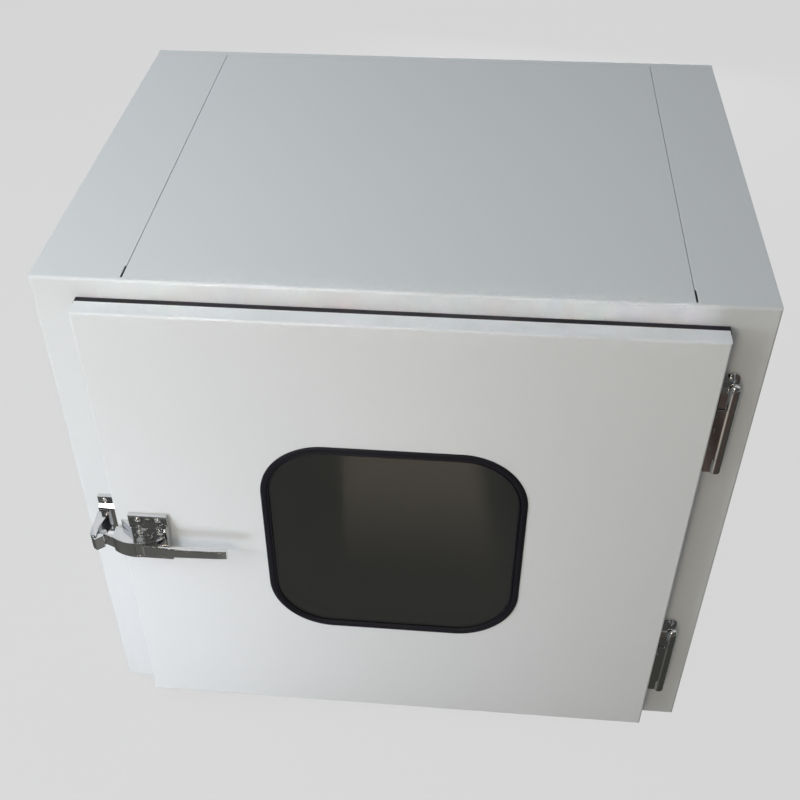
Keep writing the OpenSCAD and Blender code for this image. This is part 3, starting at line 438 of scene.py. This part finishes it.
# Share of the floor's even tone in what the camera sees; the rest is shading
FLOOR_EVENNESS = 0.93
# Painted reflection tones that only glossy rays see on the floor round the box; the dark one also paints the
# world's reflected horizon
PAINTED_REFLECTION_DARK = (0.07, 0.072, 0.066, 1)
PAINTED_REFLECTION_GREY = (0.19, 0.187, 0.175, 1)
PAINTED_REFLECTION_MID = (0.185, 0.185, 0.172, 1)
PAINTED_REFLECTION_PALE = (0.45, 0.405, 0.345, 1)
PAINTED_REFLECTION_GREEN = (0.05, 0.052, 0.045, 1)
PAINTED_REFLECTION_BLACK = (0.02, 0.016, 0.014, 1)
PAINTED_REFLECTION_BROWN = (0.12, 0.092, 0.08, 1)


def soft_step(tree, value, start, end):
    """Rises from 0 to 1 as the value goes from start to end."""
    return add_node(tree, "MapRange", {"Value": value, "From Min": start, "From Max": end},
                    interpolation_type="SMOOTHSTEP").outputs["Result"]


def floor_material():
    """Flat tone to the camera, with part of the real shading kept as shadow; glossy rays see painted
    reflections of dark, grey, pale and brown patches.
    """
    material = bpy.data.materials.new("studio_floor")
    material.use_nodes = True
    tree = material.node_tree
    tree.nodes.clear()
    path = add_node(tree, "LightPath")
    seen = add_node(tree, "Math", {0: path.outputs["Is Camera Ray"], 1: path.outputs["Is Transmission Ray"]},
                    operation="MAXIMUM")
    share = add_node(tree, "Math", {0: seen.outputs[0], 1: FLOOR_EVENNESS}, operation="MULTIPLY")
    lit = add_node(tree, "BsdfDiffuse", {"Color": FLOOR_TONE})
    flat = add_node(tree, "Emission", {"Color": FLOOR_TONE, "Strength": 1.0})
    shown = add_node(tree, "MixShader", {"Fac": share.outputs[0], 1: lit.outputs[0], 2: flat.outputs[0]})
    # Painted reflections: the patches, the mid band, the pale strip and the brown stripes below are seen only
    # by glossy rays
    patches = object_noise(tree, 2.2, 1.0)
    tone = add_node(tree, "MixRGB", {0: spread(tree, patches.outputs["Fac"], 0.0, 1.0),
                                     1: PAINTED_REFLECTION_DARK, 2: PAINTED_REFLECTION_GREY})
    where = add_node(tree, "TexCoord")
    place = add_node(tree, "SeparateXYZ", {"Vector": where.outputs["Object"]})
    slant = add_node(tree, "Math", {0: place.outputs["Y"], 1: -0.13, 2: place.outputs["X"]},
                     operation="MULTIPLY_ADD")
    across = slant.outputs[0]
    band = add_node(tree, "Math", {0: soft_step(tree, across, -0.158, -0.138),
                                   1: soft_step(tree, across, 0.26, 0.21)}, operation="MULTIPLY")
    pale_reflection_sides = add_node(tree, "Math", {0: soft_step(tree, across, -0.023, -0.015),
                                    1: soft_step(tree, across, 0.20, 0.17)}, operation="MULTIPLY")
    pale_reflection_mask = add_node(tree, "Math", {0: pale_reflection_sides.outputs[0],
                                   1: soft_step(tree, place.outputs["Y"], -0.49, -0.74)}, operation="MULTIPLY")
    brown_reflection_stripes = object_noise(tree, 3.0, 2.0, (14, 1, 1))
    brown_reflection = add_node(tree, "MixRGB", {0: spread(tree, brown_reflection_stripes.outputs["Fac"], 0.0, 1.0),
                                      1: PAINTED_REFLECTION_BLACK, 2: PAINTED_REFLECTION_BROWN})
    side_reflection = add_node(tree, "MixRGB", {0: soft_step(tree, place.outputs["Y"], -0.58, -0.48),
                                       1: brown_reflection.outputs["Color"], 2: PAINTED_REFLECTION_GREEN})
    ground = add_node(tree, "MixRGB", {0: soft_step(tree, across, 0.27, 0.34), 1: tone.outputs["Color"],
                                       2: side_reflection.outputs["Color"]})
    reflection_with_band = add_node(tree, "MixRGB", {0: band.outputs[0], 1: ground.outputs["Color"], 2: PAINTED_REFLECTION_MID})
    pale = add_node(tree, "MixRGB", {0: pale_reflection_mask.outputs[0], 1: reflection_with_band.outputs["Color"], 2: PAINTED_REFLECTION_PALE})
    # Painted reflection: an emission that only glossy rays see
    painted_reflections = add_node(tree, "Emission", {"Color": pale.outputs["Color"], "Strength": 1.0})
    mixed = add_node(tree, "MixShader", {"Fac": path.outputs["Is Glossy Ray"], 1: shown.outputs[0],
                                         2: painted_reflections.outputs[0]})
    add_node(tree, "OutputMaterial", {"Surface": mixed.outputs[0]})
    return material


def build_world():
    """Even soft light; reflections see a dark horizon under a pale ceiling."""
    world = bpy.data.worlds.new("studio")
    bpy.context.scene.world = world
    world.use_nodes = True
    tree = world.node_tree
    tree.nodes.clear()
    path = add_node(tree, "LightPath")
    way = add_node(tree, "TexCoord")
    height = add_node(tree, "SeparateXYZ", {"Vector": way.outputs["Generated"]})
    rise = add_node(tree, "MapRange", {"Value": height.outputs["Z"], "From Min": 0.05, "From Max": 0.45})
    behind = add_node(tree, "MapRange", {"Value": height.outputs["Y"], "From Min": -0.55, "From Max": -0.1})
    ceiling = add_node(tree, "Math", {0: rise.outputs["Result"], 1: behind.outputs["Result"]},
                       operation="MULTIPLY")
    # Painted reflection: only glossy rays see this dark horizon and pale ceiling
    room = add_node(tree, "MixRGB", {0: ceiling.outputs[0], 1: PAINTED_REFLECTION_DARK, 2: CEILING_TONE})
    soft = add_node(tree, "Background", {"Color": FILL_TONE, "Strength": FILL_STRENGTH})
    mirrored = add_node(tree, "Background", {"Color": room.outputs["Color"], "Strength": 1.0})
    plain = add_node(tree, "Background", {"Color": BACKDROP_TONE, "Strength": 1.0})
    lit = add_node(tree, "MixShader", {"Fac": path.outputs["Is Glossy Ray"], 1: soft.outputs[0],
                                       2: mirrored.outputs[0]})
    mixed = add_node(tree, "MixShader", {"Fac": path.outputs["Is Camera Ray"], 1: lit.outputs[0],
                                         2: plain.outputs[0]})
    add_node(tree, "OutputWorld", {"Surface": mixed.outputs[0]})


def build_stage():
    """Pale floor under the feet of the box, and the world round it."""
    bpy.ops.object.select_all(action="DESELECT")
    bpy.ops.mesh.primitive_plane_add(size=FLOOR_SIZE, location=(0, 0, -FLOOR_DROP))
    floor = bpy.context.object
    floor.name = "studio_floor"
    floor.data.materials.append(floor_material())
    build_world()


def add_softbox(name, where, aim, size, power, colour):
    data = bpy.data.lights.new(name, "AREA")
    data.shape = "RECTANGLE"
    data.size, data.size_y = size
    data.energy = power
    data.color = colour
    lamp = bpy.data.objects.new(name, data)
    bpy.context.scene.collection.objects.link(lamp)
    lamp.location = where
    lamp.rotation_euler = (Vector(aim) - Vector(where)).to_track_quat("-Z", "Y").to_euler()
    return lamp


# Name, place, point aimed at, width and height, watts and colour of each lamp
SOFTBOXES = [
    ("far_front_softbox", (-0.55, -2.4, 1.15), (-0.2, -0.28, 0.3), (0.4, 0.4), 9.1, (1.0, 0.83, 0.62)),
    ("near_left_softbox", (-0.95, -0.95, 0.85), (-0.25, -0.28, 0.3), (0.6, 0.6), 5.1, (0.89, 0.91, 0.99)),
    ("near_low_softbox", (-0.75, -0.95, 0.1), (-0.27, -0.28, 0.1), (0.3, 0.3), 0.66, (0.84, 0.88, 1.0)),
    ("high_left_softbox", (-1.2, 0.2, 1.75), (-0.1, 0, 0.55), (1.0, 1.0), 11.2, (0.895, 0.93, 0.99)),
    ("high_front_strip", (-0.55, -0.85, 1.3), (-0.25, -0.25, 0.56), (1.0, 0.05), 2.6, (0.93, 1.0, 0.98)),
    ("brow_strip", (0.0, -1.0, 0.945), (0.0, -0.2525, 0.563), (0.55, 0.012), 0.0187, (0.88, 0.93, 1.0)),
    ("rear_softbox", (0.3, 1.7, 0.40), (0, 0.28, 0.3), (0.9, 0.5), 6, (0.97, 0.98, 1.0)),
    ("left_softbox", (-1.7, 0.5, 0.42), (-0.33, 0.1, 0.3), (0.7, 0.5), 3, (0.95, 0.97, 1.0)),
    ("right_softbox", (1.6, 0.7, 0.42), (0.33, 0.1, 0.3), (0.7, 0.5), 3.5, (1.0, 0.97, 0.93)),
]

# Beam angle in degrees of the lamps that carry a grid
SPREADS = {"near_low_softbox": 75, "brow_strip": 3}
# Lamps that polished faces do not mirror
UNMIRRORED = {"near_left_softbox", "near_low_softbox", "high_left_softbox", "brow_strip"}


def light_stage():
    for name, where, aim, size, power, colour in SOFTBOXES:
        lamp = add_softbox(name, where, aim, size, power, colour)
        lamp.visible_glossy = name not in UNMIRRORED
        if name in SPREADS:
            lamp.data.spread = radians(SPREADS[name])


place_camera()
finishes = make_finishes()
dress_cad_nodes()
round_the_edges()
make_window_seals()
build_stage()
light_stage()
